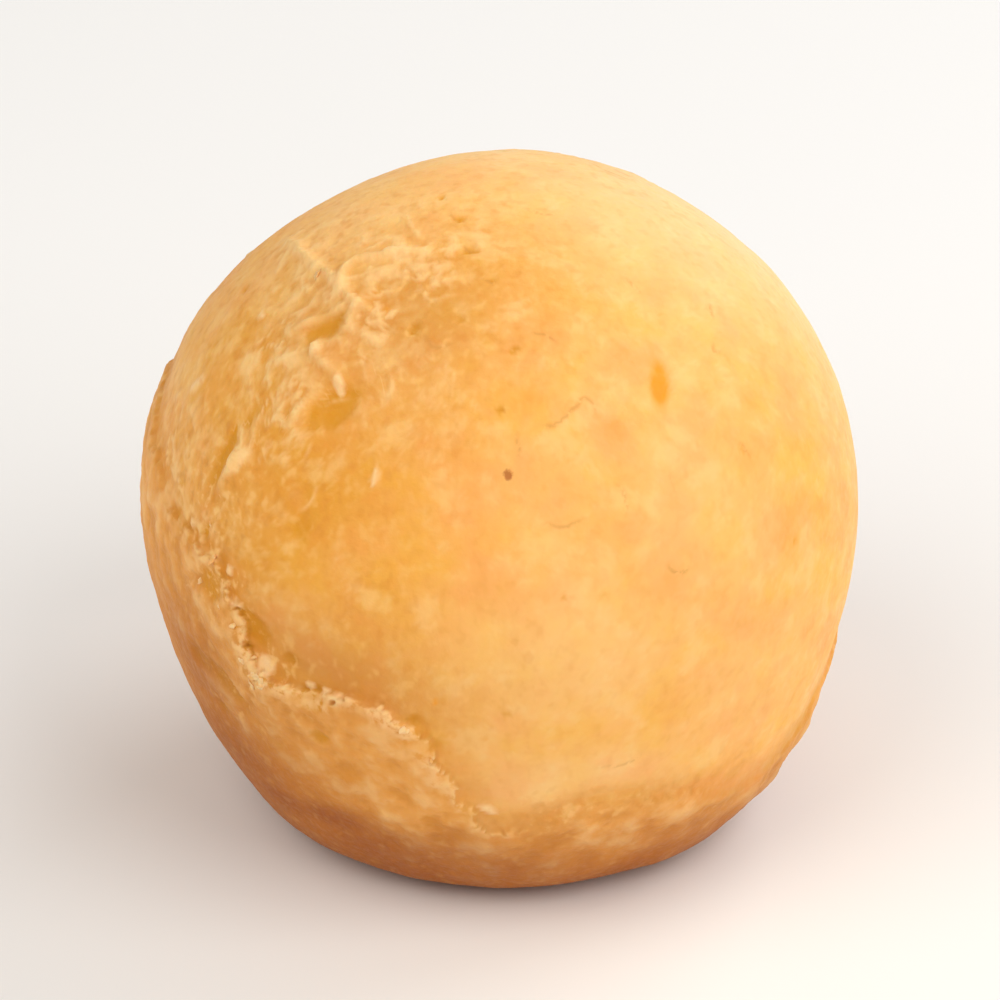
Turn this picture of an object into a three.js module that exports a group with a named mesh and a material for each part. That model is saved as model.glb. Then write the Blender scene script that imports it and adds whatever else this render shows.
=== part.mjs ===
// A pao de queijo: one baked ball of tapioca and cheese dough, about 52 mm across.
// Millimetres, +Z up, front towards -Y, origin at the middle of the flat underside.
//
// The ball is one closed body. Every point of its crust lies on a ray from the middle of the ball,
// at a distance that is the plain baked shape plus the relief of the crust in that direction.

import * as THREE from 'three';
import { mergeVertices } from 'three/addons/utils/BufferGeometryUtils.js';
import { ImprovedNoise } from 'three/addons/math/ImprovedNoise.js';

const { clamp, degToRad, radToDeg, smoothstep } = THREE.MathUtils;

// ---- driving dimensions of the baked shape ----
const WIDTH = 51.8; // side to side, along X
const DEPTH = 51; // front to back, along Y
const DOME_HEIGHT = 25.3; // widest level up to the crown
const SEAT_HEIGHT = 24.6; // flat underside up to the widest level
const TAPER_REACH = 33; // widest level down to where the flanks would close if nothing were flat
const TAPER_POWER = 1.9; // 2 gives elliptical flanks below the widest level, 1 a straight cone
const SEAT_EDGE = 3; // how softly the flanks turn into the underside
const MEAN_RADIUS = 26; // turns an angle between two places into millimetres along the crust
const SQUARES = 31; // mesh squares along each side of the six-sided sphere

// ---- places on the crust ----
// A place starts with [azimuth, elevation] in degrees, seen from the middle of the ball: azimuth 0
// is the front and 90 the +X side, elevation 0 is the widest level and 90 the crown.

// Broad swells (height over 0) and hollows (under 0) of the whole ball, in degrees and millimetres.
const SWELLS = [
  { at: [-144, 50], spread: 34, height: -0.7 },
  { at: [63, -39], spread: 24, height: 1 },
  { at: [122, 48], spread: 15, height: -0.45 },
  { at: [175, 15], spread: 30, height: 0.4 },
];

// In the oven the dome tore away from the lower crust all the way round. Each place on this closed
// tear ends with the height of the lip that the lower crust stands up with there.
const SKIRT_TEAR = [
  [-66, 10, 0.5], [-52, 8, 0.6], [-45, 1, 0.8], [-40, -7, 0.9], [-32, -8, 1], [-18, -8, 0.9],
  [-12, -13, 0.8], [-8, -22, 0.7], [-1, -33, 0.5], [7, -31, 0.3], [17, -27, 0.4], [33, -29, 0.3],
  [53, -34, 0.2], [77, -24, 0.4], [104, -20, 0.6], [128, -13, 0.9], [149, -9, 1], [171, -14, 0.8],
  [-166, -5, 0.6], [-145, 3, 0.8], [-120, 5, 0.6], [-97, 19, 0.4], [-81, 15, 0.5],
];
const LIP_RISE = 2.2; // width of the step from the groove up to the lip
const LIP_REACH = 6; // how far below the tear the lower crust still stands proud
const GROOVE_DEPTH = 0.35;
const GROOVE_WIDTH = 2;

// Shorter tears that run up the dome from the long one. The lip is on the left of the way up.
const DOME_TEARS = [
  [[140, -10, 0.7], [152, 8, 0.8], [144, 24, 0.7], [158, 40, 0.5]],
  [[-158, -2, 0.6], [-150, 16, 0.7], [-163, 30, 0.5]],
  [[108, -20, 0.5], [122, -6, 0.6], [112, 9, 0.4]],
];

// Thin folds where the skin of the dome has crumpled. They stand up like veins.
const FOLDS = [
  [[-31, 70], [-46, 66], [-57, 61], [-52, 57], [-44, 56], [-37, 55]],
  [[-97, 52], [-78, 56], [-60, 57], [-52, 57]],
  [[-44, 56], [-42, 53], [-43, 49], [-46, 46], [-38, 44], [-35, 42]],
  [[-58, 45], [-53, 49], [-50, 51], [-46, 54]],
  [[-44, 33], [-42, 37], [-40, 41]],
  [[-54, 18], [-52, 24], [-53, 31]],
  [[146, 48], [158, 42], [150, 33], [160, 25]],
  [[158, 42], [172, 46], [-172, 40]],
  [[-118, 42], [-128, 34], [-122, 25], [-134, 20]],
];
const FOLD_HEIGHT = 0.3;
const FOLD_WIDTH = 1.2;

// Shallow cells and deep pockets between the folds: spread and depth.
const POCKETS = [
  { at: [-62, 51], spread: 6, depth: 0.25 },
  { at: [-60, 40], spread: 8, depth: 0.3 },
  { at: [-28, 58], spread: 7, depth: 0.3 },
  { at: [-46, 50], spread: 3, depth: 0.4 },
  { at: [-36, 39], spread: 3, depth: 0.3 },
  { at: [-31, 22], spread: 14, depth: 0.35 },
  { at: [-53, 3], spread: 3, depth: 0.4 },
  { at: [-42, 0], spread: 2.5, depth: 0.4 },
  { at: [-50, -14], spread: 3, depth: 0.4 },
  { at: [-31, -12], spread: 2.5, depth: 0.4 },
  { at: [166, 35], spread: 7, depth: 0.4 },
  { at: [141, 36], spread: 6, depth: 0.35 },
  { at: [-126, 41], spread: 6, depth: 0.4 },
  { at: [162, -22], spread: 4, depth: 0.4 },
  { at: [-135, -8], spread: 4, depth: 0.4 },
];

// Uneven baking: wavelength and height of the lumps of the dome and of the rougher lower crust.
const DOME_LUMPS = { wavelength: 17, height: 0.35 };
const SKIRT_LUMPS = { wavelength: 5, height: 0.3 };

const noise = new ImprovedNoise();

function direction([azimuth, elevation]) {
  const turn = degToRad(azimuth);
  const rise = degToRad(elevation);
  return new THREE.Vector3(
    Math.sin(turn) * Math.cos(rise),
    -Math.cos(turn) * Math.cos(rise),
    Math.sin(rise),
  );
}

// A line along the crust through places, with round bends. Each point keeps the place's third
// number, or 1 where a place has none.
function crustLine(places, closed = false) {
  const stepsPerPlace = 6;
  const curve = new THREE.CatmullRomCurve3(places.map(direction), closed, 'centripetal');
  const spans = closed ? places.length : places.length - 1;
  const points = [];
  for (let i = 0; i <= spans * stepsPerPlace; i += 1) {
    const at = i / stepsPerPlace;
    const before = places[Math.floor(at) % places.length];
    const after = places[Math.ceil(at) % places.length];
    const weight = THREE.MathUtils.lerp(before[2] ?? 1, after[2] ?? 1, at % 1);
    points.push({ ray: curve.getPoint(at / spans).normalize(), weight });
  }
  return { points, closed };
}

// Where a ray lies from a line: millimetres across it, over 0 on the left of the line's own way,
// the line's weight there, and a share that fades to 0 at the ends of an open line.
function offsetFromLine(ray, { points, closed }) {
  const nearest = new THREE.Vector3();
  let best = { distance: Infinity };
  for (let i = 1; i < points.length; i += 1) {
    const span = new THREE.Line3(points[i - 1].ray, points[i].ray);
    const share = span.closestPointToPointParameter(ray, true);
    span.at(share, nearest);
    const distance = nearest.distanceTo(ray);
    if (distance < best.distance) {
      const left = nearest.clone().cross(span.delta(new THREE.Vector3()));
      const along = (i - 1 + share) / (points.length - 1);
      best = { distance, side: Math.sign(left.dot(ray)) || 1, along, index: i };
    }
  }
  const toEnd = closed ? 1 : Math.min(best.along, 1 - best.along);
  return {
    across: best.distance * best.side * MEAN_RADIUS,
    weight: points[best.index].weight,
    fade: smoothstep(toEnd, 0, 0.2),
  };
}

function plainRadius(ray) {
  const across = Math.hypot(ray.x / (WIDTH / 2), ray.y / (DEPTH / 2));
  const reach = ray.z > 0 ? DOME_HEIGHT : TAPER_REACH;
  const power = ray.z > 0 ? 2 : TAPER_POWER;
  return (across ** power + (Math.abs(ray.z) / reach) ** power) ** (-1 / power);
}

function degreesFrom(place, ray) {
  return radToDeg(ray.angleTo(direction(place)));
}

function bump(distance, spread) {
  return Math.exp(-((distance / spread) ** 2));
}

function lumps(ray, { wavelength, height }) {
  const at = ray.clone().multiplyScalar(MEAN_RADIUS / wavelength);
  return height * noise.noise(at.x, at.y, at.z);
}

// A tear seen across: the crust dips into a groove, then steps up to the lip on the torn side.
function tearHeight({ across, weight, fade }) {
  const torn = smoothstep(-across, -LIP_RISE / 2, LIP_RISE / 2);
  const lip = weight * torn * Math.exp(-Math.max(-across, 0) / LIP_REACH);
  const groove = GROOVE_DEPTH * (1 - torn) * bump(across, GROOVE_WIDTH);
  return fade * (lip - groove);
}

const skirtLine = crustLine(SKIRT_TEAR, true);
const domeLines = DOME_TEARS.map((places) => crustLine(places));
const foldLines = FOLDS.map((places) => crustLine(places));

function relief(ray) {
  const skirt = offsetFromLine(ray, skirtLine);
  const onDome = smoothstep(skirt.across, 0, 2 * GROOVE_WIDTH);
  let height = tearHeight(skirt);
  height += lumps(ray, DOME_LUMPS);
  height += (1 - onDome) * lumps(ray, SKIRT_LUMPS);
  for (const line of domeLines) {
    height += onDome * tearHeight(offsetFromLine(ray, line));
  }
  for (const line of foldLines) {
    const { across, fade } = offsetFromLine(ray, line);
    height += fade * FOLD_HEIGHT * bump(across, FOLD_WIDTH);
  }
  for (const { at, spread, height: rise } of SWELLS) {
    height += rise * bump(degreesFrom(at, ray), spread);
  }
  for (const { at, spread, depth } of POCKETS) {
    height -= depth * bump(degreesFrom(at, ray), spread);
  }
  return height;
}

// The smaller of two lengths, rounded over where they come within `soft` of each other.
function softMinimum(a, b, soft) {
  const overlap = clamp(1 - Math.abs(a - b) / soft, 0, 1);
  return Math.min(a, b) - (overlap * overlap * soft) / 4;
}

function crustRadius(ray) {
  const baked = plainRadius(ray) + relief(ray);
  return ray.z < 0 ? softMinimum(baked, SEAT_HEIGHT / -ray.z, SEAT_EDGE) : baked;
}

// A cube of small squares, blown up to a sphere of even squares and then to the crust.
function ballGeometry() {
  const cube = new THREE.BoxGeometry(2, 2, 2, SQUARES, SQUARES, SQUARES);
  cube.deleteAttribute('normal');
  cube.deleteAttribute('uv');
  const geometry = mergeVertices(cube);
  const position = geometry.attributes.position;
  const ray = new THREE.Vector3();
  for (let i = 0; i < position.count; i += 1) {
    ray.fromBufferAttribute(position, i);
    ray.set(...ray.toArray().map((v) => Math.tan((v * Math.PI) / 4))).normalize();
    ray.multiplyScalar(crustRadius(ray));
    position.setXYZ(i, ray.x, ray.y, ray.z + SEAT_HEIGHT);
  }
  geometry.computeBoundingBox();
  const middle = geometry.boundingBox.getCenter(new THREE.Vector3());
  geometry.translate(-middle.x, -middle.y, 0);
  geometry.computeVertexNormals();
  return geometry;
}

const crust = new THREE.MeshStandardMaterial({ color: 0xf3b96c, roughness: 0.6, metalness: 0 });
const ball = new THREE.Mesh(ballGeometry(), crust);
ball.name = 'cheese_ball';

const object = new THREE.Group();
object.add(ball);

export default object;
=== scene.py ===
# %% [markdown]
# # A pao de queijo, from a faceted solid to a baked crust
# The ball is one piece of dough, so there is one big surface to get right. The packed solid gives
# its true outline and its large tears and folds. This script copies that solid, makes it smooth,
# presses the finer relief of a baked crust into it, and then bakes the colours on.

# %% Load the packed solid and measure it
import math

import bmesh
import bpy
import numpy as np
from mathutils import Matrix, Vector


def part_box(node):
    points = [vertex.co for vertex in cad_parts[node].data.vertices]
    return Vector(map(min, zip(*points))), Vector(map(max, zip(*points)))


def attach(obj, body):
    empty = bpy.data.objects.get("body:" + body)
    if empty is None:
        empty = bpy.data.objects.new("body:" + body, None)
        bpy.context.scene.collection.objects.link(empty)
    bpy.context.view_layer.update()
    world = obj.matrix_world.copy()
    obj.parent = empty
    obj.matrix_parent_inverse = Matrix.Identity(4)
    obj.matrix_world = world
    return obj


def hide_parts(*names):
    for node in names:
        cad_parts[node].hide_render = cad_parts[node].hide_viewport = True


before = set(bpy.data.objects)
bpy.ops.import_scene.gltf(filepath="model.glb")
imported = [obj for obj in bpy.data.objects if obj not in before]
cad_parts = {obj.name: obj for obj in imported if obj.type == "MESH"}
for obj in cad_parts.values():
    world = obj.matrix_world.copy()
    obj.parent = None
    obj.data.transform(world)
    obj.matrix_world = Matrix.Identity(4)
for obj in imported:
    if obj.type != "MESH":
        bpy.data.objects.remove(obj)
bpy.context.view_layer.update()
MM = 0.001
WIDEST_LEVEL = 24.6 * MM
MIDDLE = Vector((0, 0, WIDEST_LEVEL))
MEAN_RADIUS = 26 * MM
low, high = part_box("cheese_ball")
size_in_mm = [round(side / MM, 1) for side in high - low]
print("the ball is", size_in_mm, "mm wide, deep and tall")

# %% [markdown]
# ## Camera
# A small thing on a table is looked down on from about 30 degrees. A long lens from arm's length
# keeps the ball round, with no bulge towards the viewer.

# %% Set up the camera
VIEW_ELEVATION = math.radians(30)
VIEW_DISTANCE = 450 * MM
LENS_MM = 222
AIM_DROP = 0.8 * MM  # how far under the middle of the ball the camera aims
NEAREST_SEEN = 10 * MM


def new_object(name, data):
    """An object in the scene that shows this data, which is a mesh, a lamp or a camera."""
    thing = bpy.data.objects.new(name, data)
    bpy.context.scene.collection.objects.link(thing)
    return thing


def make_camera():
    camera = new_object("camera", bpy.data.cameras.new("camera"))
    camera.data.lens = LENS_MM
    camera.data.clip_start = NEAREST_SEEN
    back = Vector((0, -math.cos(VIEW_ELEVATION), math.sin(VIEW_ELEVATION)))
    camera.location = MIDDLE - Vector((0, 0, AIM_DROP)) + back * VIEW_DISTANCE
    camera.rotation_euler = (math.pi / 2 - VIEW_ELEVATION, 0, 0)
    bpy.context.scene.camera = camera
    print("the camera stands at", [round(part, 3) for part in camera.location], "m")


make_camera()

# %% [markdown]
# ## Light and floor
# Bread looks soft in soft light. One large lamp stands high on the right, so that every crumb of
# relief casts a tiny shade to the lower left. A second lamp behind the right shoulder lays a pale
# sheen on the skin there. A wide, warm lamp far off on the left and a pale room lift the shades
# without flattening the folds.

# %% Light the set
LAMPS = {
    # name: azimuth and elevation in degrees, distance and size in metres, watts and colour
    "key": (52, 42, 0.6, 0.5, 1.74, (1.0, 0.97, 0.92)),
    "sheen": (128, 36, 0.6, 0.5, 1.55, (1.0, 0.98, 0.96)),
    "fill": (-52, 48, 0.8, 0.7, 2.65, (1.0, 0.94, 0.84)),
}
ROOM_BRIGHTNESS = 0.41
ROOM_COLOUR = (1.0, 0.99, 0.98, 1)


def ray(azimuth, elevation):
    """Unit vector to a place: azimuth 0 is the front (-Y) and 90 is +X, elevation 90 is up."""
    turn, rise = math.radians(azimuth), math.radians(elevation)
    flat = math.cos(rise)
    return Vector((math.sin(turn) * flat, -math.cos(turn) * flat, math.sin(rise)))


def make_lamp(name, azimuth, elevation, distance, size, watts, colour):
    data = bpy.data.lights.new(name, "AREA")
    data.shape = "DISK"
    data.size = size
    data.energy = watts
    data.color = colour
    lamp = new_object(name, data)
    towards = ray(azimuth, elevation)
    lamp.location = MIDDLE + towards * distance
    lamp.rotation_euler = towards.to_track_quat("Z", "Y").to_euler()


for name, values in LAMPS.items():
    make_lamp(name, *values)

room = bpy.data.worlds.new("room")
room.use_nodes = True
room.node_tree.nodes["Background"].inputs["Color"].default_value = ROOM_COLOUR
room.node_tree.nodes["Background"].inputs["Strength"].default_value = ROOM_BRIGHTNESS
bpy.context.scene.world = room
bpy.context.scene.view_settings.view_transform = "Standard"
print("lamps:", ", ".join(LAMPS))

# %% [markdown]
# The floor is one big pale sheet. It belongs to the stage and not to the ball.

# %% Lay the floor
FLOOR_SIZE = 6.0
FLOOR_COLOUR = (0.86, 0.86, 0.86, 1)


def make_floor():
    bm = bmesh.new()
    bmesh.ops.create_grid(bm, x_segments=1, y_segments=1, size=FLOOR_SIZE / 2)
    mesh = bpy.data.meshes.new("floor")
    bm.to_mesh(mesh)
    bm.free()
    floor = new_object("floor", mesh)
    paint = bpy.data.materials.new("pale_floor")
    paint.use_nodes = True
    shader = paint.node_tree.nodes["Principled BSDF"]
    shader.inputs["Base Color"].default_value = FLOOR_COLOUR
    shader.inputs["Specular IOR Level"].default_value = 0
    mesh.materials.append(paint)
    print(f"the floor is {FLOOR_SIZE} m wide")


make_floor()

# %% [markdown]
# ## Writing node trees like sums
# Relief and colour are both worked out by node trees. Wiring nodes by hand gives long scripts, so
# a small class wraps a node's output. Two wires can then be added or multiplied like numbers, and
# each sign places a Math node or two.

# %% A wire that can be added and multiplied


class Wire:
    """One output of a node, which can stand in a sum."""

    def __init__(self, tree, socket):
        self.tree = tree
        self.socket = socket

    def math(self, operation, *others):
        values = dict(enumerate((self, *others)))
        return out(add(self.tree, "ShaderNodeMath", values, operation=operation))

    def __add__(self, other):
        return self.math("ADD", other)

    def __sub__(self, other):
        return self.math("SUBTRACT", other)

    def __mul__(self, other):
        return self.math("MULTIPLY", other)

    def __rsub__(self, other):
        return (-self).math("ADD", other)

    def __truediv__(self, other):
        return self.math("DIVIDE", other)

    def __rtruediv__(self, other):
        return self.math("POWER", -1.0) * other

    def __neg__(self):
        return self * -1

    def vector(self, operation, *others, result="Vector"):
        values = dict(enumerate((self, *others)))
        return out(add(self.tree, "ShaderNodeVectorMath", values, operation=operation), result)

    def scaled(self, factor):
        values = {0: self, "Scale": factor}
        return out(add(self.tree, "ShaderNodeVectorMath", values, operation="SCALE"))

    def between(self, start, end, to_start=0.0, to_end=1.0, smooth=True):
        """Goes from to_start to to_end as this wire goes from start to end, and stays there."""
        values = {"Value": self, "From Min": start, "From Max": end}
        values |= {"To Min": to_start, "To Max": to_end}
        kind = "SMOOTHSTEP" if smooth else "LINEAR"
        return out(add(self.tree, "ShaderNodeMapRange", values, interpolation_type=kind), "Result")

    def bell(self, spread):
        """1 where this wire is 0, fading to 0 over about twice the spread."""
        share = self / spread
        return (-(share * share)).math("EXPONENT")


print("a wire can do:", [word for word in vars(Wire) if not word.startswith("_")])

# %% [markdown]
# Three helpers do the wiring. `plug` puts a wire or a plain value into a socket, `add` places a
# node and fills its inputs, and `out` takes an output off it.

# %% Place nodes and plug them together


def plug(socket, value):
    if isinstance(value, Wire):
        value.tree.links.new(value.socket, socket)
    else:
        socket.default_value = value


def add(tree, kind, inputs=None, **settings):
    """Places one node, sets it up, and fills its inputs with wires or plain values."""
    node = tree.nodes.new(kind)
    for name, value in settings.items():
        setattr(node, name, value)
    for name, value in (inputs or {}).items():
        plug(node.inputs[name], value)
    return node


def out(node, name=0):
    return Wire(node.id_data, node.outputs[name])


print("ready to wire:", ", ".join(helper.__name__ for helper in (plug, add, out)))

# %% [markdown]
# A crust is never even. Most of its patterns start as soft noise, cut off between two levels. What
# one tree works out is stored on the points by name, for the next tree and for the material.

# %% Make patterns and store them on points


def noise(tree, place, size, detail=2.0, roughness=0.5, result="Factor", **more):
    """Soft random patches about `size` metres across, around 0.5."""
    values = {"Vector": place, "Scale": 1 / size, "Detail": detail, "Roughness": roughness, **more}
    names = {"Factor": 0, "Color": 1}
    return out(add(tree, "ShaderNodeTexNoise", values), names[result])


def strands(tree, place, size, width):
    """Thin wandering strands, 1 along their middle, where soft noise passes its mean value."""
    return (noise(tree, place, size, 2, 0.5) - 0.5).math("ABSOLUTE").between(width, 0.0)


def distance_to_cell_edge(tree, place, size):
    """How far a place is from the edge of its cell, in a pattern of cells `size` metres across."""
    values = {"Vector": place, "Scale": 1 / size}
    node = add(tree, "ShaderNodeTexVoronoi", values, feature="DISTANCE_TO_EDGE")
    return out(node, "Distance")


def attribute(tree, name, kind="FLOAT"):
    return out(add(tree, "GeometryNodeInputNamedAttribute", {"Name": name}, data_type=kind))


def remember(tree, geometry, name, value, kind="FLOAT"):
    """Stores a value on every point, for a later tree or a material to read."""
    values = {"Geometry": geometry, "Name": name, "Value": value}
    return out(add(tree, "GeometryNodeStoreNamedAttribute", values, data_type=kind, domain="POINT"))


print("patterns:", ", ".join(maker.__name__ for maker in (noise, strands, distance_to_cell_edge)))

# %% [markdown]
# Colour is built up in layers, the way paint is. A layer is a share from 0 to 1 and a colour, which
# covers what lies under it by that share.

# %% Layers of colour


def linear(srgb):
    """A colour as Blender wants it, from the 0 to 255 values that paint programs show."""
    parts = [channel / 255 for channel in srgb]
    return (*[c / 12.92 if c <= 0.04045 else ((c + 0.055) / 1.055) ** 2.4 for c in parts], 1)


def colour_mix(tree, share, first, second):
    """Blends two colours, given as wires or as sRGB values, by a share from 0 to 1."""
    node = add(tree, "ShaderNodeMix", data_type="RGBA")
    plug(node.inputs[0], share)
    for socket, value in ((node.inputs[6], first), (node.inputs[7], second)):
        plug(socket, value if isinstance(value, Wire) else linear(value))
    return out(node, 2)


def paint_layers(tree, ground, layers):
    for share, colour in layers:
        ground = colour_mix(tree, share, ground, colour)
    return ground


print("one layer over another:", [round(channel, 3) for channel in linear((249, 181, 88))])

# %% [markdown]
# ## The smooth body
# The packed solid is faceted. A copy of it is merged and its triangles are paired into squares,
# because Subdivision Surface turns squares into a smooth skin, while triangles leave stars. A
# little smoothing first takes out the saw teeth that the coarse mesh has along the tears. Two
# levels give squares of about a third of a millimetre.

# %% Make the body from a copy of the solid
SMOOTHING_ROUNDS = 2
SUBDIVISION_LEVELS = 2
SAME_PLACE = 0.001 * MM  # corners nearer to each other than this are one


def smooth_body():
    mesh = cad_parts["cheese_ball"].data.copy()
    mesh.name = "cheese_ball_crust"
    bm = bmesh.new()
    bm.from_mesh(mesh)
    bmesh.ops.remove_doubles(bm, verts=bm.verts, dist=SAME_PLACE)
    any_angle = {"angle_face_threshold": math.pi, "angle_shape_threshold": math.pi}
    bmesh.ops.join_triangles(bm, faces=bm.faces, **any_angle)
    all_axes = {"use_axis_x": True, "use_axis_y": True, "use_axis_z": True}
    for _ in range(SMOOTHING_ROUNDS):
        bmesh.ops.smooth_vert(bm, verts=bm.verts, factor=0.5, **all_axes)
    bm.to_mesh(mesh)
    bm.free()
    mesh.materials.clear()
    mesh.shade_smooth()
    body = new_object("cheese_ball_crust", mesh)
    squares = sum(len(face.vertices) == 4 for face in mesh.polygons)
    print(f"{squares} of {len(mesh.polygons)} faces are squares")
    finer = body.modifiers.new("finer", "SUBSURF")
    finer.levels = finer.render_levels = SUBDIVISION_LEVELS
    return body


def settle(body):
    """Replaces a piece's mesh by what its modifiers make of it."""
    view = bpy.context.evaluated_depsgraph_get()
    mesh = bpy.data.meshes.new_from_object(body.evaluated_get(view))
    mesh.name = body.name
    body.modifiers.clear()
    body.data = mesh
    mesh.shade_smooth()
    print(f"{body.name}: {len(mesh.polygons)} faces, {len(mesh.loop_triangles)} triangles")


body = smooth_body()
settle(body)

# %% [markdown]
# ## Where the crust tore, crumpled and cracked
# The lines of a crust could be sculpted or painted by hand. Here each is a row of places, which is
# easy to read and to change, and both relief and colour can be measured from it. The tears and
# folds are those of the solid, so that the fine relief falls right on the large one.

# %% List the tears and folds
# A place is azimuth and elevation in degrees, seen from the middle of the ball, and a strength.
SKIRT_TEAR = [
    (-66, 10, 0.5), (-52, 8, 0.6), (-45, 1, 0.8), (-40, -7, 0.9), (-32, -8, 1), (-18, -8, 0.9),
    (-12, -13, 0.8), (-8, -22, 0.7), (-1, -33, 0.5), (7, -31, 0.3), (17, -27, 0.4), (33, -29, 0.3),
    (53, -34, 0.2), (77, -24, 0.4), (104, -20, 0.6), (128, -13, 0.9), (149, -9, 1), (171, -14, 0.8),
    (-166, -5, 0.6), (-145, 3, 0.8), (-120, 5, 0.6), (-97, 19, 0.4), (-81, 15, 0.5),
]
DOME_TEARS = [
    [(140, -10, 0.7), (152, 8, 0.8), (144, 24, 0.7), (158, 40, 0)],
    [(-158, -2, 0.6), (-150, 16, 0.7), (-163, 30, 0)],
    [(108, -20, 0.5), (122, -6, 0.6), (112, 9, 0)],
]
FOLDS = [
    [(-31, 70, 0), (-46, 66, 1), (-57, 61, 1), (-52, 57, 1), (-44, 56, 1), (-37, 55, 0)],
    [(-97, 52, 0), (-78, 56, 1), (-60, 57, 1), (-52, 57, 1)],
    [(-44, 56, 1), (-42, 53, 1), (-43, 49, 1), (-46, 46, 1), (-38, 44, 1), (-35, 42, 0)],
    [(-58, 45, 0), (-53, 49, 1), (-50, 51, 1), (-46, 54, 1)],
    [(-44, 33, 0), (-42, 37, 1), (-40, 41, 0)],
    [(-54, 18, 0), (-52, 24, 1), (-53, 31, 0)],
    [(146, 48, 0), (158, 42, 1), (150, 33, 1), (160, 25, 0)],
    [(158, 42, 1), (172, 46, 1), (-172, 40, 0)],
    [(-118, 42, 0), (-128, 34, 1), (-122, 25, 1), (-134, 20, 0)],
]
print(f"one long tear, {len(DOME_TEARS)} short ones and {len(FOLDS)} folds")

# %% [markdown]
# Wrinkles and hair cracks are too fine for the solid. A wrinkle stands up where the skin was
# pushed together, and a crack only shows as a thin brown line.

# %% List the wrinkles and hair cracks
WRINKLES = [
    [(-43.3, 32.6, 0.3), (-41.3, 37.2, 1), (-40.1, 41, 0.4)],
    [(-41.2, 35.2, 0), (-37.9, 38.9, 1), (-32.9, 40.8, 0.3)],
    [(-48.5, 30.9, 0), (-46.8, 34.6, 1), (-46.7, 37.3, 0)],
    [(-52.4, 21.8, 0.2), (-50.2, 27.5, 1), (-51.1, 31.4, 0)],
    [(-54.7, 18.2, 0), (-53.3, 26.3, 1), (-54.4, 30.1, 0.2)],
    [(-57, 31, 0), (-53, 29, 1), (-51, 26, 1), (-51, 23, 1), (-50, 26, 1), (-48, 28, 0)],
    [(-29, 49, 0), (-25, 46, 0.8), (-24, 43, 0.8), (-25, 40, 0)],
    [(-32, 47, 0), (-29, 43, 0.9), (-26, 42, 0)],
    [(-80, 22, 0), (-76, 27, 1), (-74, 31, 0)],
    [(-75, 36, 0), (-78, 39, 0.9), (-76, 42, 0)],
    [(-56, 38, 0), (-53, 42, 0.7), (-47, 46, 0.9)],
    [(-20, 54, 0), (-22, 58, 0.7), (-19, 61, 0.8), (-13, 62, 0)],
    [(-7, 54, 0), (-4, 57, 0.6), (2, 56, 0)],
    [(-19, 37, 0), (-16, 39, 0.7), (-14, 41, 0)],
    [(-24, 29, 0), (-23, 33, 0.8), (-25, 36, 0)],
    [(-92, 67, 0), (-73, 73, 0.9), (-44, 71, 1), (-30, 71, 0)],
    [(-56, 9, 0), (-53, 13, 1), (-51, 19, 0)],
    [(-62, -3, 0), (-55, 4, 1), (-55, 9, 0)],
    [(-37, 20, 0), (-34, 24, 0.8), (-34, 27, 0)],
    [(148, 46, 0), (142, 40, 1), (146, 33, 0)],
    [(166, 30, 0), (170, 24, 0.9), (164, 18, 0)],
    [(-120, 34, 0), (-114, 28, 1), (-118, 21, 0)],
    [(-136, 38, 0), (-140, 31, 0.9), (-134, 26, 0)],
]
HAIR_CRACKS = [
    [(27, 16.5, 0), (28.5, 14, 0.9), (30.5, 13.2, 1), (32.5, 14.5, 0)],
    [(6, 55, 0), (12, 54.5, 1), (17, 52, 0)],
    [(6, 41, 0), (11, 39.5, 1), (15, 42, 0.8), (19, 43, 1), (20, 39, 0)],
    [(20, 31, 0), (22, 27, 0.8), (21, 22, 0)],
    [(5, 25, 0), (11, 24, 0.8), (18, 25.5, 0)],
    [(30, 31, 0), (31.5, 27, 0.5), (31, 22, 0)],
    [(-24, 56, 0), (-17, 52, 0.9), (-9, 54, 0)],
    [(20, 84, 0), (38, 79, 0.9), (52, 78, 0)],
    [(26, -16, 0), (21, -20, 0.7), (12, -19, 0)],
    [(-50, 79, 0), (-38, 78, 1), (-28, 77, 0)],
    [(-22, 73, 0), (-15, 71, 1), (-8, 71, 0)],
    [(-9, 66, 0), (-3.5, 64.7, 1), (0, 63, 0)],
    [(4, 40, 0), (3.5, 37, 0.8), (3.6, 33, 0)],
    [(46, 62, 0), (45.7, 59, 0.8), (45.4, 55.5, 0)],
    [(66, 50.5, 0), (62, 48.5, 0.9), (61, 47, 0)],
    [(57, 45.5, 0), (54, 43.3, 1), (57.5, 42.7, 0)],
    [(47.5, 30, 0), (48.4, 27.9, 1), (50, 25.5, 0)],
    [(22.5, 29.5, 0), (22, 27.5, 0.6), (21.8, 25.5, 0)],
    [(118, 60, 0), (130, 66, 0.8), (150, 64, 0)],
    [(-150, 55, 0), (-138, 60, 0.9), (-120, 56, 0)],
    [(100, 28, 0), (108, 34, 0.8), (118, 30, 0)],
    [(-178, 8, 0), (-172, 14, 0.9), (-176, 22, 0)],
]
print(f"{len(WRINKLES)} wrinkles and {len(HAIR_CRACKS)} hair cracks")

# %% [markdown]
# The lines become plain chains of points. A Geometry Nodes tree can read them like any other
# object, and turns each chain into a dense smooth line.

# %% Turn the lines into chains of points


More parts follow.
